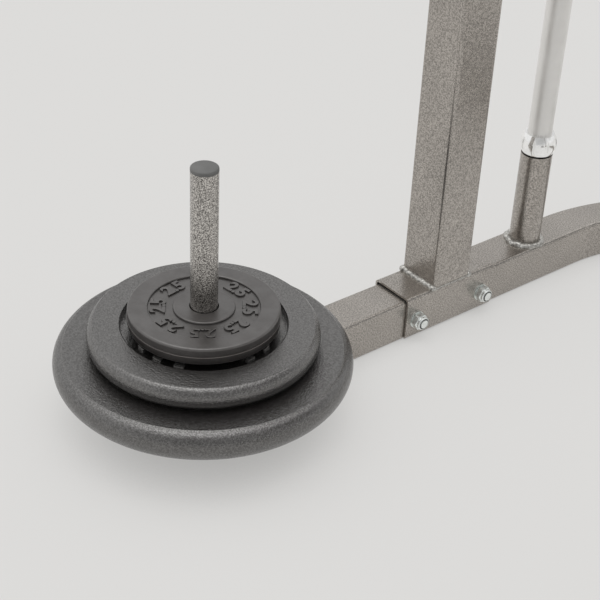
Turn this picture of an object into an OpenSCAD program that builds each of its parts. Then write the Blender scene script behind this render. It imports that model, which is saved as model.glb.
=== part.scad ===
// Squat stand: two bent legs joined at the rear, an upright bolted over each leg,
// a plate peg at the front of each leg and a bar holder behind each upright.
// Row frame: X across the stand, Y to the rear, Z up, floor at Z = 0.
// Each side is drawn in its own side frame (X to the rear from the peg's axis,
// Y outwards from the leg's middle plane, Z up) and then placed left or right.

/* [Base] */
// Distance between the middle planes of the two legs
stance = 1100; // [900:10:1300]
// Width and height of the square leg tube
leg_w = 50; // [44:1:54]
// Wall thickness of the leg tube
leg_wall = 2.5; // [2:0.25:3]
// Corner radius of the leg tube
leg_corner = 4; // [3.5:0.5:6]
// How far the leg runs on in front of the peg's axis
leg_nose = 45; // [35:1:60]
// Where the outer wall starts to bend, behind the peg's axis
bend_start = 526; // [520:2:560]
// Radius of the outer wall round the rear bend
bend_r = 300; // [240:5:340]
// How much tighter the pressed inner wall of the bend is than a parallel one
bend_pinch = 20; // [0:1:26]

/* [Rear connector] */
// Length of the channel that joins the two legs
joiner_len = 240; // [200:5:320]
// Distance between the two bolts through each leg end
joiner_pitch = 60; // [50:2:70]
// Distance from each end of the channel to its outer bolt
joiner_bolt_in = 24; // [20:1:28]
// Gap between the two leg ends inside the channel
joiner_gap = 2; // [1:0.5:6]

/* [Saddle] */
// Wall thickness of the saddle and of the rear channel
saddle_wall = 2.4; // [2:0.1:3.4]
// Gap between the saddle's side walls and the leg
saddle_side_gap = 0.6; // [0.3:0.1:0.9]
// Gap between the saddle's top wall and the leg
saddle_top_gap = 2; // [0.3:0.1:2.4]
// Height of the saddle's lower edge above the floor
saddle_lift = 2; // [1:0.5:8]
// Length of the saddle
saddle_len = 134; // [126:1:160]
// Outer corner radius of the saddle
saddle_corner = 5; // [4.1:0.1:6]
// Distance from the saddle's front end to its front bolt
saddle_bolt_in = 14; // [13:0.5:20]
// Distance between the saddle's two bolts
saddle_bolt_pitch = 100; // [90:1:104]

/* [Upright] */
// Distance from the peg's axis to the upright's axis
upright_x = 325.5; // [310:0.5:350]
// Width of the square upright tube
upright_w = 55; // [50:1:56]
// Wall thickness of the upright tube
upright_wall = 2.5; // [2:0.25:3]
// Corner radius of the upright tube
upright_corner = 4.5; // [4:0.5:6]
// Height of the upright's top above the floor
upright_top = 1680; // [1500:10:1800]
// Diameter of the height holes
hole_d = 17; // [16.4:0.1:20]
// Distance between height holes
hole_pitch = 75; // [60:5:100]
// Height of the lowest height hole
hole_first = 420; // [380:5:500]
// Distance from the top of the upright down to the highest hole's limit
hole_last_gap = 40; // [30:5:80]
// How many holes below the highest one the bar hooks sit
hook_below = 3; // [2:1:8]

/* [Bar hooks] */
// Diameter of the hook's pin
hook_pin_d = 16; // [14:0.1:16.2]
// How far the pin comes out behind the upright
hook_pin_out = 10; // [6:1:16]
// Thickness of the hook's steel plate
hook_plate = 5; // [4:0.5:6]
// Width of the cup that holds the bar
hook_w = 50; // [40:1:54]
// Depth of the cup from front to back, inside the steel
hook_depth = 54; // [50:1:64]
// Height of the front lip above the inside of the cup
hook_lip = 50; // [40:1:60]
// Radius of the cup's inner corners
hook_corner = 12; // [10:1:18]
// Height of the hook's back plate above the pin
hook_up = 50; // [40:1:60]
// Depth of the cup's inner floor below the pin
hook_down = 38; // [30:1:44]
// How far the side cheeks reach back along the upright
cheek_reach = 32; // [20:1:40]
// Thickness of the side cheeks
cheek_t = 4; // [3:0.5:5]
// Gap between the cheeks and the upright
cheek_gap = 0.6; // [0.4:0.1:1]
// Thickness of the plastic cup liner
liner_t = 5; // [4:0.5:7]

/* [Plate peg] */
// Diameter of the peg that holds the plates
peg_d = 28; // [25:0.5:29]
// Wall thickness of the peg tube
peg_wall = 2.5; // [2:0.25:4]
// Length of the peg tube above the leg
peg_len = 233; // [180:1:280]
// Height of the cap above the peg tube
peg_cap_h = 4; // [3:0.5:8]

/* [Bar holder] */
// Distance from the peg's axis to the bar holder's axis
holder_x = 472; // [460:1:500]
// Outer diameter of the bar holder tube
holder_d = 37; // [36:0.5:42]
// Wall thickness of the bar holder tube
holder_wall = 3; // [2:0.25:3]
// Length of the bar holder tube
holder_len = 117; // [90:1:150]

/* [Plates] */
// Bore of every plate
plate_bore = 30; // [29.6:0.1:31]
// Diameter of the large plate
big_d = 307; // [280:1:330]
// Thickness of the large plate
big_t = 35; // [30:0.5:40]
// How far the large plate's rim swells out beyond the crease at its face
big_swell = 10.6; // [6:0.2:14]
// Diameter of the middle plate
mid_d = 237; // [220:1:250]
// Thickness of the middle plate
mid_t = 27; // [25:0.5:32]
// How far the middle plate's rim swells out beyond the crease at its face
mid_swell = 6; // [4:0.2:10]
// Diameter of the small plate
small_d = 154; // [140:1:160]
// Thickness of the small plate
small_t = 18.5; // [16:0.5:26]
// Radius of the small plate's rounded rim edges
small_round = 2.5; // [2:0.5:6]
// Depth of the dish in each face of the large plate
big_dish = 8; // [5:0.5:10]
// Depth of the dish in each face of the middle plate
mid_dish = 9.5; // [5:0.5:10]
// Depth of the dish in each face of the small plate
small_dish = 2.5; // [1.5:0.25:4]
// Radius of the rounded shoulders of the dishes
dish_round = 1.5; // [0.5:0.1:1.5]
// Diameter of the large plate's dished ring
big_dish_d = 200; // [180:1:205]
// Diameter of the middle plate's dished ring
mid_dish_d = 172; // [164:1:180]
// Diameter of the small plate's dished ring
small_dish_d = 116; // [100:1:124]
// Diameter of the raised hub round each plate's bore
plate_hub_d = 60; // [50:1:70]
// Height of the moulding flash that runs round the middle of the small plate's rim
flash_h = 1.2; // [0.8:0.1:2]
// How far the flash stands out from the rim
flash_out = 0.7; // [0.3:0.1:1]

/* [Bar] */
// Diameter of the bar
bar_d = 28; // [25:0.5:29]
// Whole length of the bar
bar_len = 1500; // [1200:10:1600]
// Length of the bar's end from its tip to the collar
bar_end = 110; // [80:1:112]
// Height of the barrel-shaped collar
collar_h = 26; // [22:1:36]
// Diameter of the collar at its widest
collar_d = 42; // [39.5:0.5:48]
// How much the collar's radius grows from its ends to its middle
collar_swell = 3.8; // [2:0.2:4]
// Number of grooves round the collar
collar_grooves = 8; // [6:1:12]

/* [Fasteners] */
// Thread diameter of the frame bolts
bolt_d = 10; // [8:1:10]
// Gap between a bolt and its hole, on the radius
bolt_gap = 0.5; // [0.3:0.1:1]
// How far each bolt comes out beyond its lock nut
bolt_out = 0.8; // [0.4:0.2:8]
// Thickness of the washers
washer_t = 2.5; // [1.5:0.1:3]

/* [Hidden] */
$fn = 72;

paint = "#8f8c88";
iron = "#434242";
rubber_black = "#29292a";
plastic_black = "#333334";
zinc = "#c7c9c8";
chrome_look = "#d8dadb";

seat = 0.05;              // running gap of parts that are screwed together
half = leg_w / 2;
nut_af = 1.7 * bolt_d;    // across the flats of nuts and bolt heads
nut_h = 1.15 * bolt_d;     // a lock nut, with its collar
nut_collar_r = 0.46 * nut_af;
lock_ring_r = 0.39 * nut_af;
lock_ring_h = 0.25 * bolt_d;
head_h = 0.64 * bolt_d;
washer_r = bolt_d;
cap_lip = 3;
cap_plug = 16;            // how far a square cap's plug reaches into its tube
saddle_out = half + saddle_side_gap + saddle_wall;
saddle_top = leg_w + saddle_top_gap + saddle_wall;
saddle_x0 = upright_x - saddle_len / 2;
saddle_bolts = [saddle_x0 + saddle_bolt_in, saddle_x0 + saddle_bolt_in + saddle_bolt_pitch];
leg_mid_z = leg_w / 2;
inner_r = bend_r - leg_w - bend_pinch;
cross_x = bend_start + bend_r - half;      // middle plane of the rear tube
middle_y = -stance / 2;                    // the stand's middle plane, in the side frame
joiner_outer = middle_y + joiner_len / 2 - joiner_bolt_in;
joiner_bolts = [joiner_outer, joiner_outer - joiner_pitch];
rear_end = cross_x + saddle_out + washer_t + head_h;
front_end = -big_d / 2;
mid_x = (front_end + rear_end) / 2;        // the part's origin, in the side frame
big_z = leg_w;
mid_z = big_z + big_t;
small_z = mid_z + mid_t;
top_hole = floor((upright_top - hole_last_gap - hole_first) / hole_pitch);
hook_z = hole_first + (top_hole - hook_below) * hole_pitch;
hook_face = upright_x - upright_w / 2;
cheek_y = upright_w / 2 + cheek_gap;
holder_top = leg_w + holder_len;
bar_z = holder_top - bar_end;              // the bar's lower tip

module left_side() translate([-stance / 2, -mid_x, 0]) rotate([0, 0, 90]) children();
module right_side() mirror([1, 0, 0]) left_side() children();
module both_sides() { left_side() children(); right_side() children(); }

// Plain shapes

// A rectangle with round corners, centred
module round_rect(w, h, r) {
  square([w - 2 * r, h], center = true);
  square([w, h - 2 * r], center = true);
  for (sx = [-1, 1], sy = [-1, 1])
    translate([sx * (w / 2 - r), sy * (h / 2 - r)]) circle(r);
}

// A square tube standing on Z = 0
module square_tube(w, wall, r, len) {
  difference() {
    linear_extrude(len) round_rect(w, w, r);
    translate([0, 0, -1]) linear_extrude(len + 2)
      round_rect(w - 2 * wall, w - 2 * wall, max(r - wall, 0.5));
  }
}

module round_tube(d, wall, len) {
  difference() {
    cylinder(h = len, d = d);
    translate([0, 0, -1]) cylinder(h = len + 2, d = d - 2 * wall);
  }
}

// Half the section of a ring with rounded outer corners
module round_edge_profile(r_in, r_out, t, round) {
  translate([r_in, 0]) square([r_out - round - r_in, t]);
  translate([r_in, round]) square([r_out - r_in, t - 2 * round]);
  for (z = [round, t - round]) translate([r_out - round, z]) circle(round);
}

// Half the section of a ring whose rim is one arc, which meets each flat face in a crease
module swell_profile(r_in, r_out, t, swell) {
  arc_r = (t * t / 4 + swell * swell) / (2 * swell);
  crease_r = r_out - swell;
  translate([r_in, 0]) square([crease_r - r_in, t]);
  intersection() {
    translate([r_out - arc_r, t / 2]) circle(arc_r);
    translate([crease_r - 0.01, 0]) square([swell + 1, t]);
  }
}

// A hexagon prism with turned-down corners, on Z = 0
module hex_block(af, h, chamfer) {
  intersection() {
    cylinder(h = h, d = af / cos(30), $fn = 6);
    rotate_extrude() polygon([[0, 0], [af / 2 - chamfer / 2, 0], [af / 2 + chamfer, chamfer],
      [af / 2 + chamfer, h - chamfer], [af / 2 - chamfer / 2, h], [0, h]]);
  }
}

// Legs

// Everything inwards of the tube's outer wall, seen in section; g shrinks it to the bore
module outer_wall_section(g) {
  r = max(leg_corner - g, 0.5);
  reach = 1.3 * leg_w;
  h = leg_w - 2 * g;
  translate([-g, g]) {
    translate([-reach, 0]) square([reach - r, h]);
    translate([-reach, r]) square([reach, h - 2 * r]);
    for (z = [r, h - r]) translate([-r, z]) circle(r);
  }
}

// What is cut away inwards of the tube's inner wall, seen in section
module inner_wall_section(g) {
  r = max(leg_corner - g, 0.5);
  reach = 0.8 * leg_w;
  h = leg_w - 2 * g;
  difference() {
    translate([-reach, -1]) square([reach + r + g, leg_w + 2]);
    translate([g, g]) {
      translate([r, 0]) square([2 * r, h]);
      translate([0, r]) square([2 * r, h - 2 * r]);
      for (z = [r, h - r]) translate([r, z]) circle(r);
    }
  }
}

// Carries a section along the leg, round the rear bend and to the stand's middle
module leg_path(wall_y, start, radius, x0, y_end) {
  translate([x0, wall_y, 0]) rotate([90, 0, 90]) linear_extrude(start - x0) children();
  translate([start, wall_y - radius, 0]) rotate_extrude(angle = 90)
    translate([radius, 0]) children();
  translate([start + radius, wall_y - radius, 0]) rotate([90, 0, 0])
    linear_extrude(wall_y - radius - y_end) children();
}

module leg_solid(g, over) {
  end_y = middle_y + joiner_gap / 2;
  difference() {
    leg_path(half, bend_start, bend_r, -leg_nose - over, end_y - over) outer_wall_section(g);
    leg_path(-half, bend_start + bend_pinch, inner_r, -leg_nose - over - 1, end_y - over - 1)
      inner_wall_section(g);
  }
}

module leg() {
  color(paint) difference() {
    leg_solid(0, 0);
    leg_solid(leg_wall, 1);
    for (x = saddle_bolts) bolt_hole_across(x);
    for (y = joiner_bolts) translate([cross_x - leg_w, y, leg_mid_z]) rotate([0, 90, 0])
      cylinder(h = 2 * leg_w, d = bolt_d + 2 * bolt_gap);
  }
}

module bolt_hole_across(x) {
  translate([x, leg_w, leg_mid_z]) rotate([90, 0, 0])
    cylinder(h = 2 * leg_w, d = bolt_d + 2 * bolt_gap);
}

// Saddles and rear channel

// An inverted channel over the leg tube, seen in section
module channel_section() {
  r_in = saddle_corner - saddle_wall;
  inner_w = leg_w + 2 * saddle_side_gap;
  difference() {
    translate([0, saddle_top / 2]) round_rect(2 * saddle_out, saddle_top, saddle_corner);
    translate([0, -1 + (saddle_top - saddle_wall + 1) / 2])
      round_rect(inner_w, saddle_top - saddle_wall + 1, r_in);
    translate([-saddle_out - 1, -1]) square([2 * saddle_out + 2, saddle_lift + 1]);
    translate([-inner_w / 2, -1]) square([inner_w, leg_w / 2]);
  }
}

module saddle() {
  color(paint) difference() {
    translate([saddle_x0, 0, 0]) rotate([90, 0, 90]) linear_extrude(saddle_len)
      channel_section();
    for (x = saddle_bolts) bolt_hole_across(x);
  }
}

module connector() {
  color(paint) difference() {
    translate([cross_x, middle_y + joiner_len / 2, 0]) rotate([90, 0, 0])
      linear_extrude(joiner_len) channel_section();
    for (s = [-1, 1], y = joiner_bolts)
      translate([cross_x - leg_w, middle_y + s * (y - middle_y), leg_mid_z])
        rotate([0, 90, 0]) cylinder(h = 2 * leg_w, d = bolt_d + 2 * bolt_gap);
  }
}

// Uprights

module upright() {
  color(paint) translate([upright_x, 0, saddle_top]) difference() {
    square_tube(upright_w, upright_wall, upright_corner, upright_top - saddle_top);
    for (z = [hole_first : hole_pitch : upright_top - hole_last_gap])
      translate([-upright_w, 0, z - saddle_top]) rotate([0, 90, 0])
        cylinder(h = 2 * upright_w, d = hole_d);
  }
}

// Pegs and bar holders

module plate_peg() {
  color(paint) translate([0, 0, leg_w]) round_tube(peg_d, peg_wall, peg_len);
}

module bar_holder() {
  color(paint) translate([holder_x, 0, leg_w]) round_tube(holder_d, holder_wall, holder_len);
}

// Caps

// A round cap with a rounded edge and a plug inside the tube
module round_cap(d, wall, h) {
  edge = h * 0.45;
  rotate_extrude() {
    translate([0, 0]) square([d / 2, h - edge]);
    square([d / 2 - edge, h]);
    intersection() {
      translate([d / 2 - edge, h - edge]) circle(edge);
      square([d, h]);
    }
  }
  translate([0, 0, -d / 2]) difference() {
    cylinder(h = d / 2, d = d - 2 * wall - 2 * seat);
    translate([0, 0, -2]) cylinder(h = d / 2, d = d - 2 * wall - 5);
  }
}

// A square cap with a hollow plug, made for a tube whose end is at Z = 0
module square_cap(w, wall, r) {
  inner = w - 2 * wall - 2 * seat;
  linear_extrude(cap_lip) round_rect(w, w, r);
  translate([0, 0, -cap_plug]) difference() {
    linear_extrude(cap_plug) round_rect(inner, inner, max(r - wall, 0.5));
    translate([0, 0, -2]) linear_extrude(cap_plug) round_rect(inner - 5, inner - 5, 1);
  }
}

module peg_cap() {
  color(plastic_black) translate([0, 0, leg_w + peg_len]) round_cap(peg_d, peg_wall, peg_cap_h);
}

module leg_cap() {
  color(plastic_black) translate([-leg_nose, 0, leg_mid_z]) rotate([0, -90, 0])
    square_cap(leg_w, leg_wall, leg_corner);
}

module upright_cap() {
  color(plastic_black) translate([upright_x, 0, upright_top])
    square_cap(upright_w, upright_wall, upright_corner);
}

// Weld beads

// A bead round the foot of a round tube
module round_bead(x, d) {
  translate([x, 0, leg_w]) rotate_extrude()
    polygon([[d / 2, 0], [d / 2 + 4.5, 0], [d / 2 + 2.6, 2.4], [d / 2, 4]]);
}

// Beads across the front and rear of the upright's foot and along its two sides
module square_bead() {
  side = upright_w - 2 * upright_corner;
  for (a = [0, 90, 180, 270]) translate([upright_x, 0, saddle_top]) rotate([0, 0, a])
    translate([upright_w / 2, side / 2, 0]) rotate([90, 0, 0]) linear_extrude(side)
      polygon(a % 180 == 0 ? [[0, 0], [5, 0], [2.8, 2.6], [0, 4.4]]
        : [[0, 0], [0.6, 0], [0, 1.2]]);
}

module welds() {
  color(zinc) {
    round_bead(holder_x, holder_d);
    square_bead();
  }
}

// Fasteners

// A place on the outside of a channel wall, with Z pointing outwards
module on_saddle(x, side) {
  translate([x, side * saddle_out, leg_mid_z]) rotate([side * -90, 0, 0]) children();
}

module on_joiner(y, side) {
  translate([cross_x + side * saddle_out, y, leg_mid_z]) rotate([0, side * 90, 0]) children();
}

module bolt() {
  grip = 2 * saddle_out + 2 * washer_t;
  color(zinc) {
    translate([0, 0, washer_t]) hex_block(nut_af, head_h, 1);
    translate([0, 0, washer_t - grip - nut_h - bolt_out])
      cylinder(h = grip + nut_h + bolt_out, d = bolt_d);
  }
}

// A hexagon with a round collar, whose mouth is open for the lock ring
module nut() {
  edge = 1.2;
  color(zinc) translate([0, 0, washer_t]) difference() {
    union() {
      hex_block(nut_af, nut_h * 0.68, 1);
      cylinder(h = nut_h - edge, r = nut_collar_r);
      translate([0, 0, nut_h - edge])
        cylinder(h = edge, r1 = nut_collar_r, r2 = nut_collar_r - edge * 0.7);
    }
    translate([0, 0, -1]) cylinder(h = nut_h + 2, d = bolt_d + 2 * seat);
    translate([0, 0, nut_h - lock_ring_h - 0.6]) cylinder(h = nut_h, r = lock_ring_r);
  }
}

// The plastic ring in a lock nut, a little below its face
module lock_ring() {
  color(plastic_black) translate([0, 0, washer_t + nut_h - lock_ring_h - 0.6]) difference() {
    cylinder(h = lock_ring_h, r = lock_ring_r - seat);
    translate([0, 0, -1]) cylinder(h = lock_ring_h + 2, d = bolt_d + 2 * seat);
  }
}

module washer() {
  color(zinc) difference() {
    cylinder(h = washer_t, r = washer_r);
    translate([0, 0, -1]) cylinder(h = washer_t + 2, d = bolt_d + 2 * seat);
  }
}

// Bar hooks

// A cup open at the top with two round lower corners
module cup_outline(w, h, r) {
  translate([0, r]) square([w, h - r]);
  translate([r, 0]) square([w - 2 * r, h]);
  for (x = [r, w - r]) translate([x, r]) circle(r);
}

// The hook seen from the side; X is forwards from the upright, Y is the height over the pin
module hook_side() {
  difference() {
    union() {
      translate([0, -hook_down - hook_plate - 12])
        square([hook_plate, hook_up + hook_down + hook_plate + 12]);
      translate([0, -hook_down - hook_plate])
        cup_outline(hook_depth + 2 * hook_plate, hook_lip + hook_plate,
          hook_corner + hook_plate);
    }
    translate([hook_plate, -hook_down])
      cup_outline(hook_depth, hook_lip + hook_up + hook_down, hook_corner);
  }
}

// Places a hook, so that X is forwards from the upright's front wall and Z is up
module at_hook() {
  translate([hook_face, 0, hook_z]) rotate([0, 0, 180]) children();
}

module hook_frame() {
  plate_h = hook_up + hook_down + hook_plate + 12;
  color(paint) at_hook() {
    translate([0, hook_w / 2, 0]) rotate([90, 0, 0]) linear_extrude(hook_w) hook_side();
    for (s = [-1, 1]) {
      translate([0, s < 0 ? -cheek_y - cheek_t : hook_w / 2, hook_up - plate_h])
        cube([hook_plate, cheek_y + cheek_t - hook_w / 2, plate_h]);
      translate([0, s < 0 ? -cheek_y : cheek_y + cheek_t, 0]) rotate([90, 0, 0])
        linear_extrude(cheek_t) translate([-cheek_reach, hook_up - plate_h])
          difference() {
            square([cheek_reach + hook_plate, plate_h]);
            translate([0, plate_h]) circle(r = cheek_reach * 0.7);
            circle(r = cheek_reach * 0.7);
          }
    }
  }
}

module hook_pin() {
  len = upright_w + hook_pin_out;
  color(zinc) at_hook() rotate([0, -90, 0]) {
    cylinder(h = len - 3, d = hook_pin_d);
    translate([0, 0, len - 3]) cylinder(h = 3, d1 = hook_pin_d, d2 = hook_pin_d - 5);
  }
}

module hook_liner() {
  color(plastic_black) at_hook() translate([hook_plate, (hook_w - 4) / 2, -hook_down])
    rotate([90, 0, 0]) linear_extrude(hook_w - 4) difference() {
      cup_outline(hook_depth, hook_lip - 2, hook_corner);
      translate([liner_t, liner_t])
        cup_outline(hook_depth - 2 * liner_t, hook_lip, max(hook_corner - liner_t, 3));
    }
}

// Plates

// What a dish cuts out of a face at Z = 0, between the hub and the rim, whose shoulders
// are rounded
module dish_profile(dish_d, depth) {
  hub = plate_hub_d / 2;
  rim_in = dish_d / 2;
  difference() {
    translate([hub, -1]) square([rim_in - hub, depth + 1]);
    for (r = [hub, rim_in]) translate([r, dish_round]) circle(dish_round);
    translate([hub - 1, dish_round]) square([dish_round + 1, depth]);
    translate([rim_in - dish_round, dish_round]) square([dish_round + 1, depth]);
  }
}

// Turns a rim section into a plate with a dish in both faces. The hub round the bore is
// level with the rim, so plates stack hub on hub
module plate(t, dish_d, depth, z) {
  translate([0, 0, z]) rotate_extrude() difference() {
    children();
    dish_profile(dish_d, depth);
    translate([0, t]) mirror([0, 1]) dish_profile(dish_d, depth);
  }
}

module large_plate() {
  color(iron) plate(big_t, big_dish_d, big_dish, big_z)
    swell_profile(plate_bore / 2, big_d / 2, big_t, big_swell);
}

module middle_plate() {
  color(iron) plate(mid_t, mid_dish_d, mid_dish, mid_z)
    swell_profile(plate_bore / 2, mid_d / 2, mid_t, mid_swell);
}

module small_plate() {
  color(rubber_black) plate(small_t, small_dish_d, small_dish, small_z) {
    round_edge_profile(plate_bore / 2, small_d / 2, small_t, small_round);
    translate([small_d / 2 - 1, (small_t - flash_h) / 2]) square([1 + flash_out, flash_h]);
  }
}

// Bar

module at_bar() { left_side() translate([holder_x, 0, bar_z]) children(); }

module bar() {
  tip = 2;
  color(chrome_look) at_bar() rotate_extrude() polygon([[0, 0], [bar_d / 2 - tip, 0],
    [bar_d / 2, tip], [bar_d / 2, bar_len - tip], [bar_d / 2 - tip, bar_len], [0, bar_len]]);
}

// One collar: a barrel on the bar with upright grooves for the fingers, standing on Z = 0
module collar() {
  groove_w = 3;
  groove_depth = 1.8;
  collar_turn = 28.5;       // one groove faces forwards and inwards
  difference() {
    rotate_extrude()
      swell_profile(bar_d / 2 + seat, collar_d / 2, collar_h, collar_swell);
    for (i = [0 : collar_grooves - 1])
      rotate([0, 0, collar_turn + i * 360 / collar_grooves])
        translate([collar_d / 2 - groove_depth, -groove_w / 2, -1])
          cube([groove_depth + 1, groove_w, collar_h + 2]);
  }
}

module both_collars() {
  color(chrome_look) at_bar() {
    translate([0, 0, bar_end]) collar();
    translate([0, 0, bar_len - bar_end]) mirror([0, 0, 1]) collar();
  }
}

left_side() leg();  // left_leg
right_side() leg();  // right_leg
left_side() connector();  // rear_connector
left_side() saddle();  // left_saddle
right_side() saddle();  // right_saddle
left_side() upright();  // left_upright
right_side() upright();  // right_upright
left_side() plate_peg();  // left_plate_peg
right_side() plate_peg();  // right_plate_peg
left_side() bar_holder();  // left_bar_holder
right_side() bar_holder();  // right_bar_holder
both_sides() peg_cap();  // peg_caps
both_sides() leg_cap();  // leg_end_caps
both_sides() upright_cap();  // upright_caps
both_sides() welds();  // weld_beads
both_sides() {  // frame_bolts
  for (x = saddle_bolts) on_saddle(x, 1) bolt();
  for (y = joiner_bolts) on_joiner(y, 1) bolt();
}
both_sides() {  // frame_nuts
  for (x = saddle_bolts) on_saddle(x, -1) nut();
  for (y = joiner_bolts) on_joiner(y, -1) nut();
}
both_sides() {  // frame_nut_rings
  for (x = saddle_bolts) on_saddle(x, -1) lock_ring();
  for (y = joiner_bolts) on_joiner(y, -1) lock_ring();
}
both_sides() {  // frame_washers
  for (x = saddle_bolts, s = [-1, 1]) on_saddle(x, s) washer();
  for (y = joiner_bolts, s = [-1, 1]) on_joiner(y, s) washer();
}
left_side() hook_frame();  // left_hook_frame
left_side() hook_pin();  // left_hook_pin
left_side() hook_liner();  // left_hook_liner
right_side() hook_frame();  // right_hook_frame
right_side() hook_pin();  // right_hook_pin
right_side() hook_liner();  // right_hook_liner
left_side() large_plate();  // left_large_plate
left_side() middle_plate();  // left_middle_plate
left_side() small_plate();  // left_small_plate
right_side() large_plate();  // right_large_plate
right_side() middle_plate();  // right_middle_plate
right_side() small_plate();  // right_small_plate
bar();  // bar_shaft
both_collars();  // bar_collars
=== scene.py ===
# %% [markdown]
# # A squat stand, dressed for its photograph
#
# The part comes in as a fixed frame: every tube, bolt and plate is already at its real
# size and place. This lesson gives each surface its finish, models the few things that a
# solid modeller leaves plain, such as weld beads and moulded numbers, and lights the
# stand as a product photographer would. All lengths are in metres.

# %% Load the frame
import math

import bpy
from mathutils import Matrix, Vector


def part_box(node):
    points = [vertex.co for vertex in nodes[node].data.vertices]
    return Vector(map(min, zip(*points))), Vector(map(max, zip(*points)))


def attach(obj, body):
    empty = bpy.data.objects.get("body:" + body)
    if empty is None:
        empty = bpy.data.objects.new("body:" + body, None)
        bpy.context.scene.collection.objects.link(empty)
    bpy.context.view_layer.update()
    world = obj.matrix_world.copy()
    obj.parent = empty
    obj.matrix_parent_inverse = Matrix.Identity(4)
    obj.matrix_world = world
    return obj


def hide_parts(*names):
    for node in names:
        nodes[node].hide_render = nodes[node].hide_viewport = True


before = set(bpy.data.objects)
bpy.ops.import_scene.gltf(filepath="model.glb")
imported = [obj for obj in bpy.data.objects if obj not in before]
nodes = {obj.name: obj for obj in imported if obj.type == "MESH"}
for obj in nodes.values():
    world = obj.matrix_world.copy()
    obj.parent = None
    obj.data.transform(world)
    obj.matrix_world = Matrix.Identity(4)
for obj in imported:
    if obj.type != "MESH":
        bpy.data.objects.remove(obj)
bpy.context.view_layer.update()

# %% [markdown]
# ## The camera
#
# The photograph is a close view over the front of the left leg, taken with a long lens.
# A camera can be aimed with a constraint, but a matrix built from yaw, pitch and roll
# says exactly where it looks, so that is used. The place is given from the left peg's
# axis, because the peg is the thing that the photographer aimed at.

# %% Camera
peg_low, peg_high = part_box("left_plate_peg")
peg_axis = (peg_low + peg_high) / 2

EYE_INWARDS = 0.958      # from the peg's axis towards the stand's middle and beyond
EYE_FORWARD = 0.672      # in front of the peg's axis
EYE_HEIGHT = 0.908
YAW = math.radians(39.73)
PITCH = math.radians(33.28)
ROLL = math.radians(2.8)
LENS = 84.08             # the focal length, in millimetres
SENSOR_WIDTH = 36        # also in millimetres
FAR_LIMIT = 50           # nothing farther away than this is drawn


def camera_matrix(eye, yaw, pitch, roll):
    """A camera that looks outwards and to the rear, downwards by pitch."""
    ahead = Vector((-math.cos(yaw) * math.cos(pitch), math.sin(yaw) * math.cos(pitch),
                    -math.sin(pitch)))
    level = Vector((math.sin(yaw), math.cos(yaw), 0))
    above = level.cross(ahead)
    right = math.cos(roll) * level + math.sin(roll) * above
    up = math.cos(roll) * above - math.sin(roll) * level
    turn = Matrix((right, up, -ahead)).transposed().to_4x4()
    return Matrix.Translation(eye) @ turn


eye = Vector((peg_axis.x + EYE_INWARDS, peg_axis.y - EYE_FORWARD, EYE_HEIGHT))
camera_data = bpy.data.cameras.new("photo_camera")
camera_data.lens = LENS
camera_data.sensor_width = SENSOR_WIDTH
camera_data.sensor_fit = "HORIZONTAL"
camera_data.clip_end = FAR_LIMIT
camera = bpy.data.objects.new("photo_camera", camera_data)
camera.matrix_world = camera_matrix(eye, YAW, PITCH, ROLL)
bpy.context.scene.collection.objects.link(camera)
bpy.context.scene.camera = camera
print("camera at", [round(v, 3) for v in eye])

# %% [markdown]
# ## Helpers for materials
#
# Every finish here is procedural. A small helper adds a node and sets its inputs, so
# that a material reads as a list of what it is made of. All patterns read Object
# coordinates, which stay still on a piece, whatever view or pose is rendered.

# %% Node helpers


def add_node(tree, kind, **inputs):
    """Adds a shader node; each keyword is an input's name with _ for a space."""
    node = tree.nodes.new(kind)
    for name, value in inputs.items():
        node.inputs[name.replace("_", " ")].default_value = value
    return node


def new_finish(name):
    """A fresh material with only a Principled shader and an output in it."""
    material = bpy.data.materials.new(name)
    material.use_nodes = True
    tree = material.node_tree
    tree.nodes.clear()
    shader = tree.nodes.new("ShaderNodeBsdfPrincipled")
    output = tree.nodes.new("ShaderNodeOutputMaterial")
    tree.links.new(shader.outputs["BSDF"], output.inputs["Surface"])
    return material, tree, shader


def find_node(tree, kind):
    """The tree's only node of a kind, such as its output."""
    return next(node for node in tree.nodes if node.type == kind)


def object_coords(tree):
    """Coordinates that stay still on a piece, whatever its pose."""
    return tree.nodes.new("ShaderNodeTexCoord").outputs["Object"]


def split(tree, coords):
    """The parts X, Y and Z of a place or a direction."""
    node = tree.nodes.new("ShaderNodeSeparateXYZ")
    tree.links.new(coords, node.inputs["Vector"])
    return node.outputs


def noise(tree, coords, scale, detail=2.0, roughness=0.5):
    """A noise value; scale is in cells for each metre."""
    node = add_node(tree, "ShaderNodeTexNoise", Scale=scale, Detail=detail,
                    Roughness=roughness)
    tree.links.new(coords, node.inputs["Vector"])
    return node.outputs["Fac"]


def ramp(tree, value, stops):
    """Maps a value to colours; stops are (place, colour) pairs."""
    node = tree.nodes.new("ShaderNodeValToRGB")
    band = node.color_ramp
    while len(band.elements) < len(stops):
        band.elements.new(0.5)
    for element, (place, colour) in zip(band.elements, stops):
        element.position = place
        element.color = (*colour, 1)
    tree.links.new(value, node.inputs["Fac"])
    return node.outputs["Color"]


def spread(tree, value, low, high, to_low, to_high):
    """Maps a value from one range to another."""
    node = tree.nodes.new("ShaderNodeMapRange")
    node.inputs["From Min"].default_value = low
    node.inputs["From Max"].default_value = high
    node.inputs["To Min"].default_value = to_low
    node.inputs["To Max"].default_value = to_high
    tree.links.new(value, node.inputs["Value"])
    return node.outputs["Result"]


def maths(tree, operation, first, second=None):
    """One sum on two values, each a socket or a number."""
    node = tree.nodes.new("ShaderNodeMath")
    node.operation = operation
    for index, value in enumerate((first, second)):
        if value is None:
            continue
        if isinstance(value, (int, float)):
            node.inputs[index].default_value = value
        else:
            tree.links.new(value, node.inputs[index])
    return node.outputs["Value"]


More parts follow.
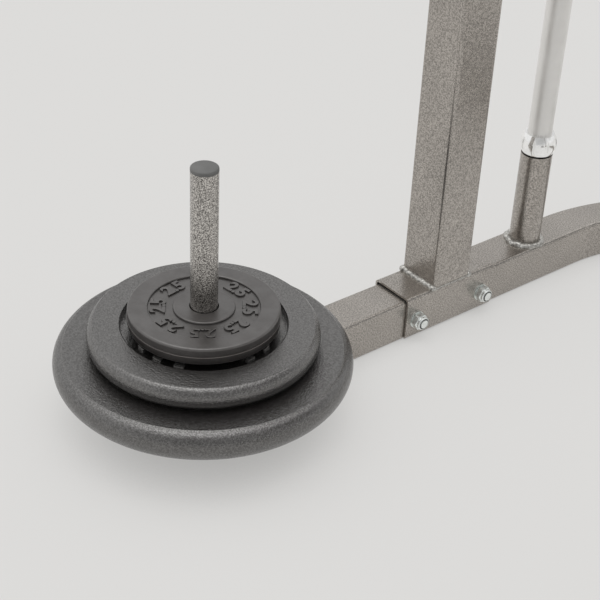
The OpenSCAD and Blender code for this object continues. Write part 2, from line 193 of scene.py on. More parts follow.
def blend_colours(tree, factor, first, second, mode="MIX"):
    """Lays the second colour over the first; each value is a socket, a number or a colour."""
    node = tree.nodes.new("ShaderNodeMix")
    node.data_type = "RGBA"
    node.blend_type = mode
    for socket, value in (("Factor", factor), ("A", first), ("B", second)):
        target = [i for i in node.inputs if i.name == socket and i.enabled][0]
        if isinstance(value, (int, float)):
            target.default_value = value
        elif isinstance(value, tuple):
            target.default_value = (*value, 1)
        else:
            tree.links.new(value, target)
    return [o for o in node.outputs if o.enabled][0]


def mix_shaders(tree, factor, first, second):
    """Shows the first shader where the factor is 0 and the second where it is 1."""
    node = tree.nodes.new("ShaderNodeMixShader")
    for index, socket in enumerate((factor, first, second)):
        tree.links.new(socket, node.inputs[index])
    return node.outputs["Shader"]


def bump(tree, height, strength, distance, under=None):
    """A bump layer; distance is the relief's height in metres."""
    node = add_node(tree, "ShaderNodeBump", Strength=strength, Distance=distance)
    tree.links.new(height, node.inputs["Height"])
    if under is not None:
        tree.links.new(under, node.inputs["Normal"])
    return node.outputs["Normal"]


# %% [markdown]
# ## Hammered enamel
#
# The tubes carry a silver-grey hammered enamel. Close up it is a field of pale metallic
# flakes with dark gaps between them, about a millimetre across, and it settles a little
# unevenly over a hand's width. A Voronoi pattern would give hard cells, so two noises
# are laid over each other: a fine one for the speckle and a coarse one for the drift.
# The pegs were dipped in a coarser batch, with dark pits between the flakes. The weld
# beads get a paler batch of their own, a painted highlight for the light that their lumpy
# facets catch.

# %% Hammered enamel
DRIFT_SCALE = 22         # the coat's uneven patches, for each metre
PEEL_SCALE = 160         # the orange peel of a sprayed coat, for each metre
ENAMEL_RELIEF = 0.0004


def hammered_enamel(name, dark, pale, grain, gloss, metal):
    """Enamel with flakes between two colours; grain is in flakes for each metre."""
    material, tree, shader = new_finish(name)
    coords = object_coords(tree)
    fine = noise(tree, coords, grain, 3.0, 0.65)
    middle = tuple((d + p) / 2 for d, p in zip(dark, pale))
    speckle = ramp(tree, fine, [(0.38, dark), (0.5, middle), (0.62, pale)])
    drift = spread(tree, noise(tree, coords, DRIFT_SCALE), 0.3, 0.7, 0.95, 1.05)
    shade = tree.nodes.new("ShaderNodeCombineColor")
    for channel in ("Red", "Green", "Blue"):
        tree.links.new(drift, shade.inputs[channel])
    colour = blend_colours(tree, 1.0, speckle, shade.outputs["Color"], "MULTIPLY")
    tree.links.new(colour, shader.inputs["Base Color"])
    shader.inputs["Metallic"].default_value = metal
    rough = spread(tree, fine, 0.35, 0.65, gloss + 0.1, gloss)
    tree.links.new(rough, shader.inputs["Roughness"])
    relief = bump(tree, fine, 0.5, ENAMEL_RELIEF)
    orange_peel = bump(tree, noise(tree, coords, PEEL_SCALE), 0.15, ENAMEL_RELIEF, relief)
    tree.links.new(orange_peel, shader.inputs["Normal"])
    return material


tube_enamel = hammered_enamel("tube_enamel", (0.235, 0.217, 0.198), (0.510, 0.475, 0.436),
                              640, 0.15, 0.85)
peg_enamel = hammered_enamel("peg_enamel", (0.06, 0.056, 0.052), (0.72, 0.69, 0.65),
                             800, 0.18, 0.9)
# painted highlight: the beads' enamel is a paler copy of the tubes', for the light their facets
# catch
painted_highlight_bead_enamel = hammered_enamel("painted_highlight_bead_enamel", (0.30, 0.29, 0.27), (0.58, 0.57, 0.54),
                              420, 0.26, 0.75)
print("enamels:", tube_enamel.name, peg_enamel.name, painted_highlight_bead_enamel.name)

# %% [markdown]
# ## Cast iron under dark enamel
#
# The two larger plates are sand castings under a black coat with graphite in it. The
# coat itself is nearly black: the grey that the eye sees is the surround, mirrored softly by
# the fine pebbled skin of the casting. So the base colour stays dark, a raised index of
# refraction strengthens the mirror, and bump breaks it up. The pattern was cut with draft,
# so that the sand would let go of it: the faces rise a few degrees from the hub to the
# crease. That is too little to see in outline, but it decides what the faces mirror, so it
# is a bump layer too, driven by the distance from the peg's axis. Outside the crease the
# same layer turns the skin over gradually, because a casting has a soft shoulder there and
# the light glints on its grains. The distance also finds the crease itself, where the coat is
# rubbed thin in places and bare metal shows; these paler metallic spots are also a painted
# highlight along the crease.

# %% Cast iron
FALL = math.tan(math.radians(3.5))    # how the faces rise from the hub to the crease
PEBBLE_SCALE = 570       # grains of the casting's skin, for each metre
PEBBLE_RELIEF = 0.0005
SHEEN_SCALE = 60         # duller and glossier patches, for each metre
SWELL_SCALE = 90         # the casting's slow unevenness, for each metre
SWELL_RELIEF = 0.0006
# rubbed wear and painted highlight along the crease: their scale and reach
WEAR_AND_GLINT_SCALE = 210         # rubbed spots along the crease, for each metre
WEAR_AND_GLINT_REACH = 0.0020      # the coat is rubbed no farther from the crease than this
IRON_BLACK = (0.008, 0.0075, 0.007)
IRON_GREY = (0.024, 0.023, 0.022)
RUBBED_AND_HIGHLIGHT_GREY = (0.30, 0.29, 0.28)


def radius_from_peg(tree, coords):
    """The distance from the nearer peg's axis; both pegs stand at the same y."""
    place = split(tree, coords)
    across = maths(tree, "SUBTRACT", maths(tree, "ABSOLUTE", place["X"]), abs(peg_axis.x))
    along = maths(tree, "SUBTRACT", place["Y"], peg_axis.y)
    return maths(tree, "SQRT", maths(tree, "ADD", maths(tree, "MULTIPLY", across, across),
                                     maths(tree, "MULTIPLY", along, along)))


def shoulder(tree, radius, crease, width, turn):
    """A height that turns the skin up outside the crease, less and less over the width."""
    out = spread(tree, radius, crease, crease + width, 0.0, 1.0)
    half_square = maths(tree, "MULTIPLY", maths(tree, "MULTIPLY", out, out), 0.5)
    return maths(tree, "MULTIPLY", maths(tree, "SUBTRACT", out, half_square),
                 turn * width)


def cast_iron_coat(name, crease, width, turn, mirror):
    """The crease is a radius, width and turn are its shoulder's, mirror is the coat's index."""
    material, tree, shader = new_finish(name)
    coords = object_coords(tree)
    radius = radius_from_peg(tree, coords)
    pebble = noise(tree, coords, PEBBLE_SCALE, 2.0, 0.6)
    colour = ramp(tree, pebble, [(0.35, IRON_BLACK), (0.66, IRON_GREY)])
    off_crease = maths(tree, "ABSOLUTE", maths(tree, "SUBTRACT", radius, crease))
    # rubbed wear and painted highlight: paler metallic spots along the crease
    at_crease = spread(tree, off_crease, 0.1 * WEAR_AND_GLINT_REACH, WEAR_AND_GLINT_REACH, 1.0, 0.0)
    rubbed_and_glint = spread(tree, noise(tree, coords, WEAR_AND_GLINT_SCALE, 4.0, 0.7), 0.44, 0.70, 0.0, 0.25)
    wear_and_highlight = maths(tree, "MULTIPLY", at_crease, rubbed_and_glint)
    colour = blend_colours(tree, wear_and_highlight, colour, RUBBED_AND_HIGHLIGHT_GREY)
    tree.links.new(colour, shader.inputs["Base Color"])
    tree.links.new(wear_and_highlight, shader.inputs["Metallic"])
    rough = spread(tree, noise(tree, coords, SHEEN_SCALE), 0.3, 0.7, 0.15, 0.22)
    tree.links.new(rough, shader.inputs["Roughness"])
    shader.inputs["IOR"].default_value = mirror
    graphite = ramp(tree, pebble, [(0.40, (0.68, 0.665, 0.65)), (0.60, (1.0, 0.98, 0.965))])
    tree.links.new(graphite, shader.inputs["Specular Tint"])
    form = maths(tree, "ADD", maths(tree, "MULTIPLY", radius, FALL),
                 shoulder(tree, radius, crease, width, turn))
    draft = bump(tree, form, 1.0, 1.0)
    skin = bump(tree, pebble, 1.0, PEBBLE_RELIEF, draft)
    swell = bump(tree, noise(tree, coords, SWELL_SCALE), 0.05, SWELL_RELIEF, skin)
    tree.links.new(swell, shader.inputs["Normal"])
    return material


large_iron = cast_iron_coat("large_iron", 0.144, 0.0075, 0.34, 2.38)
middle_iron = cast_iron_coat("middle_iron", 0.113, 0.0055, 0.52, 2.50)
print("iron coats:", large_iron.name, middle_iron.name)

# %% [markdown]
# ## Moulded rubber
#
# The small plate is covered in black rubber. Rubber from a polished mould is smooth and a
# little cloudy where it has been handled. The line where the two halves of the mould met
# runs round the edge, and a paler band is painted along it as the highlight that the raised
# line catches; a height on Object coordinates finds it.

# %% Rubber
MOULD_LINE_DEPTH = 0.0095    # below the small plate's top face
MOULD_LINE_HALF = 0.0006     # half of the line's width
MOULD_LINE_HIGHLIGHT_GREY = (0.20, 0.18, 0.17)
CLOUD_SCALE = 28         # cloudy patches from handling, for each metre
SCUFF_SCALE = 60
SKIN_SCALE = 240
SKIN_RELIEF = 0.0003
RUBBER_INDEX = 2.14      # raised, for the polish of the mould


def moulded_rubber():
    """Black rubber, cloudy from handling, with a painted highlight along the mould line round
    the edge.
    """
    material, tree, shader = new_finish("moulded_rubber")
    coords = object_coords(tree)
    cloud = noise(tree, coords, CLOUD_SCALE, 4.0, 0.6)
    colour = ramp(tree, cloud, [(0.3, (0.018, 0.016, 0.015)), (0.7, (0.032, 0.029, 0.028))])
    line_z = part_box("left_small_plate")[1].z - MOULD_LINE_DEPTH
    off_line = maths(tree, "ABSOLUTE", maths(tree, "SUBTRACT", split(tree, coords)["Z"], line_z))
    # painted highlight: a paler band along the mould line, where the raised line catches the
    # light
    painted_highlight_line = maths(tree, "LESS_THAN", off_line, MOULD_LINE_HALF)
    colour = blend_colours(tree, painted_highlight_line, colour, MOULD_LINE_HIGHLIGHT_GREY)
    tree.links.new(colour, shader.inputs["Base Color"])
    rough = spread(tree, cloud, 0.3, 0.7, 0.26, 0.46)
    tree.links.new(rough, shader.inputs["Roughness"])
    shader.inputs["IOR"].default_value = RUBBER_INDEX
    scuff = noise(tree, coords, SCUFF_SCALE, 6.0, 0.7)
    haze = ramp(tree, scuff, [(0.36, (0.80, 0.775, 0.755)), (0.62, (1.0, 0.975, 0.955))])
    tree.links.new(haze, shader.inputs["Specular Tint"])
    relief = bump(tree, noise(tree, coords, SKIN_SCALE), 0.12, SKIN_RELIEF)
    tree.links.new(relief, shader.inputs["Normal"])
    return material


rubber = moulded_rubber()
print("rubber:", rubber.name)

# %% [markdown]
# ## Plated and bare metal
#
# Zinc plate is pale and softly mottled; chrome is a clean mirror, dulled on the bar by its
# knurling and by hands. The raised figures on the iron plates are rubbed nearly through to
# grey metal where hands and other plates touch them. Tint, roughness, relief and the share
# of bare metal tell these finishes apart. The bar's lower collar stands on the rim of its
# holder, and a dark line of painted shade is laid on the collar's foot there.

# %% Metals
DULLING = 0.82           # how much darker a metal's dull patches are
KNURL_LINES = 24         # grooves of the knurl round the bar, in each direction
KNURL_CLIMB = 1900       # how steeply they wind, in radians for each metre
GRIP_START = 0.13        # the knurled part, measured from the bar's middle
GRIP_END = 0.43
KNURL_RELIEF = 0.0005
BAR_PATCH_SCALE = 40     # duller patches of the bar's plating, for each metre
PAINTED_SHADE_BLACK = (0.03, 0.03, 0.03)
PAINTED_SHADE_HEIGHT = 0.0022    # the dark line on the collar, above the holder's rim


def plated_metal(name, tint, rough_low, rough_high, mottle, relief, metal=1.0):
    """Mottled metal; mottle is in patches for each metre, relief in metres."""
    material, tree, shader = new_finish(name)
    coords = object_coords(tree)
    patch = noise(tree, coords, mottle, 3.0, 0.6)
    dull = tuple(DULLING * c for c in tint)
    tree.links.new(ramp(tree, patch, [(0.35, dull), (0.65, tint)]),
                   shader.inputs["Base Color"])
    shader.inputs["Metallic"].default_value = metal
    tree.links.new(spread(tree, patch, 0.3, 0.7, rough_low, rough_high),
                   shader.inputs["Roughness"])
    tree.links.new(bump(tree, patch, 0.3, relief), shader.inputs["Normal"])
    return material


zinc_plate = plated_metal("zinc_plate", (0.90, 0.93, 0.91), 0.32, 0.5, 300, 0.0001)
rubbed_iron = plated_metal("rubbed_iron", (0.50, 0.49, 0.48), 0.12, 0.22, 420, 0.0003, 0.8)


def chrome_bar_finish():
    """Chrome with a diamond knurl where the hands go, off the ends and the middle."""
    material, tree, shader = new_finish("bar_chrome")
    low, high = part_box("bar_shaft")
    axis = (low + high) / 2
    coords = object_coords(tree)
    centred = tree.nodes.new("ShaderNodeMapping")
    centred.inputs["Location"].default_value = (-axis.x, -axis.y, -axis.z)
    tree.links.new(coords, centred.inputs["Vector"])
    place = split(tree, centred.outputs["Vector"])

    angle = maths(tree, "ARCTAN2", place["Y"], place["X"])
    turns = maths(tree, "MULTIPLY", angle, KNURL_LINES)
    climb = maths(tree, "MULTIPLY", place["Z"], KNURL_CLIMB)
    one_way, other_way = (
        maths(tree, "ABSOLUTE", maths(tree, "SINE", maths(tree, way, turns, climb)))
        for way in ("ADD", "SUBTRACT"))
    diamonds = maths(tree, "MULTIPLY", one_way, other_way)
    from_middle = maths(tree, "ABSOLUTE", place["Z"])
    grip = maths(tree, "MULTIPLY", maths(tree, "GREATER_THAN", from_middle, GRIP_START),
                 maths(tree, "LESS_THAN", from_middle, GRIP_END))
    tree.links.new(bump(tree, maths(tree, "MULTIPLY", diamonds, grip), 0.9, KNURL_RELIEF),
                   shader.inputs["Normal"])
    patch = noise(tree, coords, BAR_PATCH_SCALE)
    tree.links.new(ramp(tree, patch, [(0.3, (0.78, 0.77, 0.75)), (0.7, (0.85, 0.84, 0.82))]),
                   shader.inputs["Base Color"])
    shader.inputs["Metallic"].default_value = 1.0
    tree.links.new(spread(tree, patch, 0.3, 0.7, 0.48, 0.58), shader.inputs["Roughness"])
    return material


def collar_finish():
    """Chrome, with a painted shade line where the lower collar sits on its holder's rim."""
    material = plated_metal("collar_chrome", (1.0, 1.0, 0.99), 0.08, 0.18, 60, 0.00003, 0.9)
    tree = material.node_tree
    shader = find_node(tree, "BSDF_PRINCIPLED")
    clean = shader.inputs["Base Color"].links[0].from_socket
    rim_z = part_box("left_bar_holder")[1].z
    height = split(tree, object_coords(tree))["Z"]
    # painted shade: the collar is darkened just above the holder's rim
    painted_shade = maths(tree, "LESS_THAN", height, rim_z + PAINTED_SHADE_HEIGHT)
    tree.links.new(blend_colours(tree, painted_shade, clean, PAINTED_SHADE_BLACK), shader.inputs["Base Color"])
    return material


bar_chrome = chrome_bar_finish()
collar_chrome = collar_finish()
print("metals:", ", ".join(m.name for m in (zinc_plate, rubbed_iron, bar_chrome, collar_chrome)))

# %% [markdown]
# ## Moulded plastic
#
# Caps and hook liners are matt grey-black plastic. Spark-eroded moulds leave a fine even
# grain, which a small bump gives.

# %% Plastic
SPARK_SCALE = 1500       # grains of the moulded surface, for each metre
SPARK_RELIEF = 0.0001
FADE_SCALE = 50          # paler and darker patches, for each metre


def grained_plastic():
    """Matt grey-black plastic with an even grain."""
    material, tree, shader = new_finish("grained_plastic")
    coords = object_coords(tree)
    grain = noise(tree, coords, SPARK_SCALE, 1.0)
    tree.links.new(ramp(tree, noise(tree, coords, FADE_SCALE, 3.0),
                        [(0.3, (0.115, 0.115, 0.111)), (0.7, (0.150, 0.149, 0.145))]),
                   shader.inputs["Base Color"])
    tree.links.new(spread(tree, grain, 0.3, 0.7, 0.5, 0.62), shader.inputs["Roughness"])
    tree.links.new(bump(tree, grain, 0.3, SPARK_RELIEF), shader.inputs["Normal"])
    return material


cap_plastic = grained_plastic()
print("plastic:", cap_plastic.name)

# %% [markdown]
# ## Dressing the frame
#
# Each carried-over solid keeps its shape and takes the finish that its name calls for. The
# first key found in a name decides, and a name without any is an enamelled tube.

# %% Finishes for the frame's nodes
FINISH = {
    "plate_peg": peg_enamel,
    "large_plate": large_iron,
    "middle_plate": middle_iron,
    "small_plate": rubber,
    "nut_rings": cap_plastic,
    "frame_": zinc_plate,
    "hook_pin": zinc_plate,
    "hook_liner": cap_plastic,
    "caps": cap_plastic,
    "weld": painted_highlight_bead_enamel,
    "bar_shaft": bar_chrome,
    "bar_collars": collar_chrome,
}


def finish_for(name):
    """The finish that a node's name calls for."""
    for key, material in FINISH.items():
        if key in name:
            return material
    return tube_enamel


for name, node in nodes.items():
    node.data.materials.clear()
    node.data.materials.append(finish_for(name))
print("dressed", len(nodes), "nodes")

# %% [markdown]
# ## Weld beads
#
# Each upright stands in a fillet weld on its saddle, and each bar holder in a ring of weld on
# its leg. A hand-laid bead is a row of drops that melted into each other, never an even
# strip. A displaced tube would look combed, so one drop is modelled, squashed and copied
# along the seam, a voxel remesh melts the copies together, and bisect trims the bead where
# it meets the steel. The left side is made first, and the right side is its mirror image.

# %% Helpers for new pieces
SHARP_ANGLE = math.radians(35)    # edges that turn more than this stay sharp


def clear_selection():
    """Goes to object mode with nothing selected."""
    if bpy.context.object and bpy.context.object.mode != "OBJECT":
        bpy.ops.object.mode_set(mode="OBJECT")
    bpy.ops.object.select_all(action="DESELECT")


def make_active(piece):
    """Selects one piece and nothing else."""
    clear_selection()
    piece.select_set(True)
    bpy.context.view_layer.objects.active = piece


def join(group, name):
    """Joins meshes into one piece with its place in its mesh."""
    clear_selection()
    for piece in group:
        piece.select_set(True)
    bpy.context.view_layer.objects.active = group[0]
    bpy.ops.object.join()
    joined = bpy.context.active_object
    joined.name = name
    bpy.ops.object.transform_apply(location=True, rotation=True, scale=True)
    return joined


def apply_modifier(piece, kind, **settings):
    """Adds a modifier with its settings and applies it."""
    make_active(piece)
    modifier = piece.modifiers.new(kind.lower(), kind)
    for key, value in settings.items():
        setattr(modifier, key, value)
    bpy.ops.object.modifier_apply(modifier=modifier.name)


def trim(piece, point, normal):
    """Cuts away what lies on the normal's side of a plane and closes the cut."""
    make_active(piece)
    bpy.ops.object.mode_set(mode="EDIT")
    bpy.ops.mesh.select_all(action="SELECT")
    bpy.ops.mesh.bisect(plane_co=point, plane_no=normal, use_fill=True, clear_outer=True)
    bpy.ops.object.mode_set(mode="OBJECT")


def dress(piece, material, body):
    """Gives a new piece its finish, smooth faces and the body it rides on."""
    piece.data.materials.clear()
    piece.data.materials.append(material)
    make_active(piece)
    bpy.ops.object.shade_smooth_by_angle(angle=SHARP_ANGLE)
    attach(piece, body)
    clear_selection()


# %% One drop and its copies
DROP_RADIUS = 0.0046
THIN_DROP_RADIUS = 0.0013
DROP_SHAPE = (1.0, 0.85, 0.8)


def weld_drop(size):
    """A squashed drop of weld, a few millimetres long, at the origin."""
    clear_selection()
    bpy.ops.mesh.primitive_ico_sphere_add(subdivisions=3, radius=size)
    drop = bpy.context.active_object
    bpy.ops.object.mode_set(mode="EDIT")
    bpy.ops.transform.resize(value=DROP_SHAPE)
    bpy.ops.object.mode_set(mode="OBJECT")
    return drop


def lay_drops(drop, seam):
    """Copies the drop to each (place, turn, size) of a seam."""
    copies = []
    for place, turn, size in seam:
        copy = drop.copy()
        copy.data = drop.data.copy()
        bpy.context.scene.collection.objects.link(copy)
        copy.location = place
        copy.rotation_euler = (0, 0, turn)
        copy.scale = (size, size, size)
        copies.append(copy)
    return copies


def wobble(index, share):
    """A repeatable uneven number about 1, as a hand would vary the drops."""
    return 1 + share * (math.sin(index * 2.4) + 0.6 * math.sin(index * 5.7 + 1))


# %% [markdown]
# The saddle runs on in front of the upright and behind it, so there is room for a full bead
# along both faces. Each bead runs out in smaller drops round the corners.

# %% Beads along the left upright's foot
FOOT_DROPS = 17
FOOT_INSET = 0.004       # how far the row of drops stays inside the upright's corners
FOOT_VOXEL = 0.0006
FOOT_BURIED = 0.0018     # what is kept of the bead below the saddle's top
BEAD_DEPTH = 0.006       # what is kept of it behind the upright's face

upright_low, upright_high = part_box("left_upright")
seam_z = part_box("left_saddle")[1].z
drop = weld_drop(DROP_RADIUS)


def straight_seam(start, end, count):
    """A row of drops along x, each a little off the line and off its size."""
    start, end = Vector(start), Vector(end)
    turn = math.atan2(end.y - start.y, end.x - start.x)
    seam = []
    for index in range(count):
        place = start.lerp(end, index / (count - 1))
        place.y += 0.0005 * math.sin(index * 1.9)
        seam.append((place, turn, wobble(index, 0.09)))
    return seam


def foot_bead(y, outwards, name):
    """A bead across the upright's foot at y; outwards is the side it bulges to."""
    seam = straight_seam((upright_low.x + FOOT_INSET, y, seam_z),
                         (upright_high.x - FOOT_INSET, y, seam_z), FOOT_DROPS)
    corner_y = y - outwards * 0.0015
    seam.append((Vector((upright_low.x + 0.003, y, seam_z + 0.0012)), 0.6, 1.2))
    seam.append((Vector((upright_high.x - 0.003, y, seam_z)), -0.5, 1.1))
    seam.append((Vector((upright_high.x - 0.001, corner_y, seam_z - 0.0008)), 1.2, 0.62))
    seam.append((Vector((upright_low.x + 0.001, corner_y, seam_z - 0.0008)), 1.9, 0.62))
    bead = join(lay_drops(drop, seam), name)
    apply_modifier(bead, "REMESH", mode="VOXEL", voxel_size=FOOT_VOXEL)
    apply_modifier(bead, "SMOOTH", factor=0.5, iterations=5)
    trim(bead, (0, y - outwards * BEAD_DEPTH, 0), (0, -outwards, 0))
    trim(bead, (0, 0, seam_z - FOOT_BURIED), (0, 0, -1))
    return bead


foot_front = foot_bead(upright_low.y, -1, "left_foot_front_bead")
foot_rear = foot_bead(upright_high.y, 1, "left_foot_rear_bead")
print("foot beads:", len(foot_front.data.polygons), len(foot_rear.data.polygons), "faces")

# %% [markdown]
# Along the upright's sides there is hardly a ledge to weld on, so only a thin run of metal
# shows there.

# %% Thin runs along the upright's sides
RUN_DROPS = 40
RUN_LIFT = 0.0002        # how far the run's middle stands above the saddle
RUN_OUT = 0.0001         # and outside the upright
RUN_VOXEL = 0.00045

thin_drop = weld_drop(THIN_DROP_RADIUS)


def side_run(x, name):
    """A thin run of drops along y, beside the upright at x."""
    start = Vector((x, upright_low.y + FOOT_INSET, seam_z + RUN_LIFT))
    end = Vector((x, upright_high.y - FOOT_INSET, seam_z + RUN_LIFT))
    seam = [(start.lerp(end, index / (RUN_DROPS - 1)), math.pi / 2, wobble(index, 0.18))
            for index in range(RUN_DROPS)]
    run = join(lay_drops(thin_drop, seam), name)
    apply_modifier(run, "REMESH", mode="VOXEL", voxel_size=RUN_VOXEL)
    apply_modifier(run, "SMOOTH", factor=0.5, iterations=1)
    return run


side_out = side_run(upright_low.x - RUN_OUT, "left_foot_outer_run")
side_in = side_run(upright_high.x + RUN_OUT, "left_foot_inner_run")
print("side runs:", len(side_out.data.polygons), len(side_in.data.polygons), "faces")

# %% [markdown]
# The holder's bead is a ring, thicker where the welder stopped and started.

# %% Ring round the left bar holder's foot
RING_DROPS = 38
RING_OUT = 0.0018        # how far the drops' middles lie outside the holder
RING_VOXEL = 0.0007
RING_BURIED = 0.0002     # what is kept of the ring below the leg's top
START_ANGLE = math.radians(-60)

holder_low, holder_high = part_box("left_bar_holder")
holder_axis = (holder_low + holder_high) / 2
holder_radius = (holder_high.x - holder_low.x) / 2
leg_top = holder_low.z


def ring_seam(count):
    """Drops round the holder, larger near the place where the welder started."""
    seam = []
    for index in range(count):
        angle = 2 * math.pi * index / count
        radius = holder_radius + RING_OUT * wobble(index, 0.6)
        place = Vector((holder_axis.x + radius * math.cos(angle),
                        holder_axis.y + radius * math.sin(angle),
                        leg_top + 0.0008 * math.sin(index * 1.7)))
        near_start = 0.2 * math.cos(angle - START_ANGLE)
        size = 1.0 + near_start + 0.16 * math.sin(index * 2.9)
        seam.append((place, angle + math.pi / 2, size))
    return seam


holder_ring = join(lay_drops(drop, ring_seam(RING_DROPS)), "left_holder_bead")
apply_modifier(holder_ring, "REMESH", mode="VOXEL", voxel_size=RING_VOXEL)
apply_modifier(holder_ring, "SMOOTH", factor=0.5, iterations=3)
trim(holder_ring, (0, 0, leg_top - RING_BURIED), (0, 0, -1))
print("holder ring:", len(holder_ring.data.polygons), "faces")

# %% [markdown]
# The two sides of the stand mirror each other, so the left beads are joined and mirrored. A
# mirrored mesh is inside out, and its normals are made right again.

# %% Join the left beads and mirror them for the right side
for spare in (drop, thin_drop):
    bpy.data.objects.remove(spare, do_unlink=True)
left_beads = join([foot_front, foot_rear, side_out, side_in, holder_ring], "left_weld_beads")


def mirrored(piece, name):
    """A copy on the other side of the stand's middle plane, with its faces outwards."""
    copy = piece.copy()
    copy.data = piece.data.copy()
    copy.name = name
    bpy.context.scene.collection.objects.link(copy)
    make_active(copy)
    copy.scale = (-1, 1, 1)
    bpy.ops.object.transform_apply(location=False, rotation=False, scale=True)
    bpy.ops.object.mode_set(mode="EDIT")
    bpy.ops.mesh.select_all(action="SELECT")
    bpy.ops.mesh.normals_make_consistent(inside=False)
    bpy.ops.object.mode_set(mode="OBJECT")
    return copy


right_beads = mirrored(left_beads, "right_weld_beads")
for beads in (left_beads, right_beads):
    dress(beads, painted_highlight_bead_enamel, "stand")
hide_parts("weld_beads")
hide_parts("weld_beads")
print("weld beads on both sides:", len(left_beads.data.polygons), "faces each")

# %% [markdown]
# ## Raised numbers on the plates
#
# A plate shows its weight in kilograms in raised figures, moulded or cast with it. On the
# small plate a ring of figures fills the dish; on the iron plates taller ones stand on the
# dish's floor. A text object gives the figures, a small extrusion and bevel raise them, and
# the result is made a mesh before it goes to its place, so that it turns about the plate's
# own axis.

# %% Raised figures
FIGURE_SHARE = 0.7       # a figure's height as a share of the font's size
STROKE_GAIN = 0.02       # strokes grow by this share of the height, as moulds need
FIGURE_SINK = 0.0003     # a figure's foot is sunk in the dish's floor by this much


def raised_figure(words, height, relief, round_over, radius, floor_z, axis, turn):
    """One number, its top outwards, at a radius from the axis and a turn about it."""
    clear_selection()
    bpy.ops.object.text_add(location=(0, 0, 0))
    text = bpy.context.active_object
    text.data.body = words
    text.data.align_x = "CENTER"
    text.data.align_y = "CENTER"
    text.data.size = height / FIGURE_SHARE
    text.data.offset = height * STROKE_GAIN
    text.data.extrude = relief / 2
    text.data.bevel_depth = round_over
    text.data.bevel_resolution = 1
    text.data.resolution_u = 4
    bpy.ops.object.convert(target="MESH")
    figure = bpy.context.active_object
    place = (Matrix.Translation((axis.x, axis.y, floor_z + relief / 2 - FIGURE_SINK))
             @ Matrix.Rotation(turn - math.pi / 2, 4, "Z") @ Matrix.Translation((0, radius, 0)))
    figure.matrix_world = place
    bpy.ops.object.transform_apply(location=True, rotation=True, scale=True)
    return figure


def ring_of_figures(name, words, height, relief, round_over, radius, floor_z, axis, turns):
    """The same number at each of the turns, as one piece."""
    figures = [raised_figure(words, height, relief, round_over, radius, floor_z, axis,
                             math.radians(t)) for t in turns]
    return join(figures, name)


# %% [markdown]
# The middle plate's figures stand in three groups of four, so that the ones that peep out
# under the small plate are where the photograph has its glints. Each row of the table
# holds the words, their height, relief and rounded edge, the radius, the depth of the dish's
# floor below the plate's top, the turns in degrees, the material and the slot.

# %% Numbers for the three sizes of plate, on both pegs
FOURS = [5 + 120 * group + 20 * place for group in range(3) for place in range(4)]
NUMBERS = {
    "small": ("2.5", 0.0148, 0.0017, 0.0005, 0.0455, 0.0025, range(8, 368, 45),
              rubber, "rubber"),
    "middle": ("5", 0.018, 0.0024, 0.0008, 0.061, 0.0095, FOURS,
               rubbed_iron, "cast_iron"),
    "large": ("15", 0.034, 0.0028, 0.0009, 0.069, 0.008, range(45, 405, 120),
              rubbed_iron, "cast_iron"),
}
for side in ("left", "right"):
    for size_name, row in NUMBERS.items():
        words, height, relief, round_over, radius, depth, turns, material, slot_name = row
        low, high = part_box(f"{side}_{size_name}_plate")
        figures = ring_of_figures(f"{side}_{size_name}_figures", words, height, relief,
                                  round_over, radius, high.z - depth, (low + high) / 2, turns)
        dress(figures, material, f"{side}_{size_name}")
        print(figures.name, len(figures.data.polygons), "faces, z from",
              round(min(v.co.z for v in figures.data.vertices), 4))

# %% [markdown]
# ## Floor and light
#
# A pale floor runs out of the picture on all sides. The stand was photographed in a white
# tent, where light comes from everywhere, so an even white surround does most of the
# work and one soft box overhead draws the sheen along the plates' rims. In such a tent the
# floor is lit from below as well, so what the camera and mirror reflections see of it is
# mostly its own even tone, with the shadow laid over that at part strength. Close under a
# thing no light gets in from any side, so an occlusion node darkens the tone there.

# %% Floor
FLOOR_SIZE = 40
FLOOR_COLOUR = (0.72, 0.713, 0.70)
SHADOW_SHARE = 0.25      # how much of the floor's look comes from the light that falls on it
CONTACT_REACH = 0.12     # the own tone darkens where something is closer than this
CONTACT_TONE = 0.58
MIRRORED_GAIN = 0.12     # how much brighter the floor is in mirror reflections


def pale_floor():
    """The floor's own tone for camera and mirror rays, and plain white paint for the rest."""
    material, tree, shader = new_finish("pale_floor")
    shader.inputs["Base Color"].default_value = (*FLOOR_COLOUR, 1)
    shader.inputs["Roughness"].default_value = 0.9
    shader.inputs["Specular IOR Level"].default_value = 0.0
    glow = add_node(tree, "ShaderNodeEmission", Color=(*FLOOR_COLOUR, 1))
    near = add_node(tree, "ShaderNodeAmbientOcclusion", Distance=CONTACT_REACH)
    near.samples = 8
    ray = tree.nodes.new("ShaderNodeLightPath").outputs
    tone = spread(tree, near.outputs["AO"], 0.0, 0.6, CONTACT_TONE, 1.0)
    gain = maths(tree, "MULTIPLY", ray["Is Glossy Ray"], MIRRORED_GAIN)
    tree.links.new(maths(tree, "MULTIPLY", tone, maths(tree, "ADD", gain, 1.0)),
                   glow.inputs["Strength"])
    seen = maths(tree, "MAXIMUM", ray["Is Camera Ray"], ray["Is Glossy Ray"])
    share = maths(tree, "MULTIPLY", seen, 1 - SHADOW_SHARE)
    mix = mix_shaders(tree, share, shader.outputs["BSDF"], glow.outputs["Emission"])
    tree.links.new(mix, find_node(tree, "OUTPUT_MATERIAL").inputs["Surface"])
    return material


clear_selection()
bpy.ops.mesh.primitive_plane_add(size=FLOOR_SIZE, location=(0, 0, 0))
floor = bpy.context.active_object
floor.name = "studio_floor"
floor.data.materials.append(pale_floor())
print("floor:", FLOOR_SIZE, "m square")

# %% [markdown]
# The soft box hangs over the plates, a little on the camera's side of them, and is large and
# dim. A small strong lamp would glare on the level faces in the views from above.

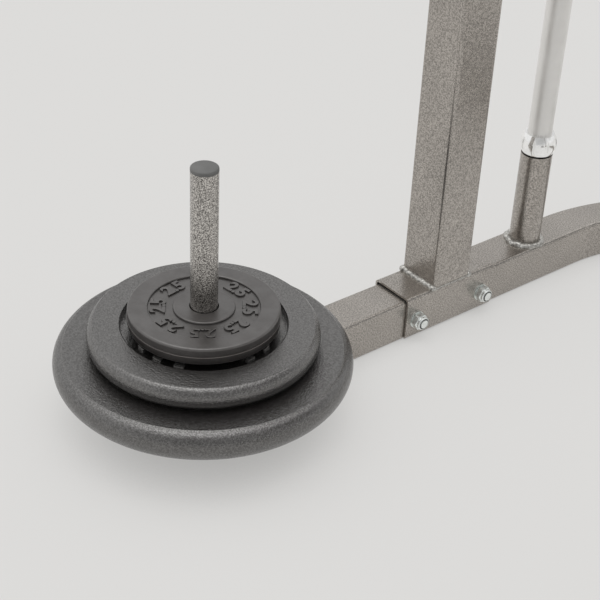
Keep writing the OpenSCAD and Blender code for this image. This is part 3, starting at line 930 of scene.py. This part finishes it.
# %% Lights
LAMP_PLACE = Vector((peg_axis.x - 0.1, peg_axis.y - 0.2, 2.6))
LAMP_AIM = Vector((peg_axis.x + 0.1, peg_axis.y + 0.2, 0.1))
LAMP_SIZE = 1.4
LAMP_POWER = 5


def soft_box(name, place, aim, size, power):
    """A round area lamp that looks at a point; size in metres, power in watts."""
    data = bpy.data.lights.new(name, "AREA")
    data.shape = "DISK"
    data.size = size
    data.energy = power
    lamp = bpy.data.objects.new(name, data)
    lamp.location = place
    lamp.rotation_euler = (aim - place).to_track_quat("-Z", "Y").to_euler()
    bpy.context.scene.collection.objects.link(lamp)
    return lamp


overhead = soft_box("overhead", LAMP_PLACE, LAMP_AIM, LAMP_SIZE, LAMP_POWER)
print("lamp at", [round(v, 3) for v in overhead.location])

# %% [markdown]
# The tent is brightest overhead, where its lamps shine through the cloth, and dark at the
# opening that the camera looks through. A black card hangs beside the opening, as
# photographers use them to draw an edge, and the far wall is a little dimmer than the
# sides. A world whose strength follows the direction says that in a few nodes. It draws the
# pale line on every crease that turns upwards, lets the rims below the creases fall off, and
# darkens the rounded corners of the tubes. The camera itself sees the floor's colour there,
# so that floor and tent run into each other.

# %% The tent's light
TENT_LEVEL = 0.87        # the strength of the tent's walls
ZENITH_GAIN = 0.75       # how much stronger its roof is
# Each patch: the direction it lies in, the cosines at its edge and core, and how much dimmer
# its core is.
OPENING = ((0.63, -0.52, 0.57), 0.62, 0.9, 0.45)
BLACK_CARD = ((0.55, 0.53, 0.64), 0.86, 0.97, 0.6)
FAR_WALL = ((-0.64, 0.53, 0.55), 0.75, 0.95, 0.13)


def dark_patch(tree, direction, side, edge, core, dim):
    """1 off the patch, falling to 1 - dim in its core; edge and core are cosines."""
    towards = tree.nodes.new("ShaderNodeVectorMath")
    towards.operation = "DOT_PRODUCT"
    towards.inputs[1].default_value = side
    tree.links.new(direction, towards.inputs[0])
    return spread(tree, towards.outputs["Value"], edge, core, 1.0, 1 - dim)


def tent_world():
    """A white surround with a bright roof and three dimmer patches."""
    world = bpy.data.worlds.new("light_tent")
    world.use_nodes = True
    tree = world.node_tree
    background = tree.nodes["Background"]
    background.inputs["Color"].default_value = (1.0, 1.0, 1.0, 1)
    direction = tree.nodes.new("ShaderNodeTexCoord").outputs["Generated"]
    height = split(tree, direction)["Z"]
    level = spread(tree, height, 0.6, 0.95, TENT_LEVEL, TENT_LEVEL + ZENITH_GAIN)
    opening, card, wall = (dark_patch(tree, direction, *patch)
                           for patch in (OPENING, BLACK_CARD, FAR_WALL))
    dimmed = maths(tree, "MULTIPLY", maths(tree, "MULTIPLY", opening, card), wall)
    tree.links.new(maths(tree, "MULTIPLY", level, dimmed), background.inputs["Strength"])
    sweep = add_node(tree, "ShaderNodeBackground", Color=(*FLOOR_COLOUR, 1))
    ray = tree.nodes.new("ShaderNodeLightPath").outputs
    mix = mix_shaders(tree, ray["Is Camera Ray"], background.outputs["Background"],
                      sweep.outputs["Background"])
    tree.links.new(mix, find_node(tree, "OUTPUT_WORLD").inputs["Surface"])
    return world


bpy.context.scene.world = tent_world()
print("world:", bpy.context.scene.world.name)

# %% [markdown]
# ## Picture settings
#
# The finishes were matched under the plain Standard view, so that is kept.

# %% Picture settings
bpy.context.scene.view_settings.view_transform = "Standard"
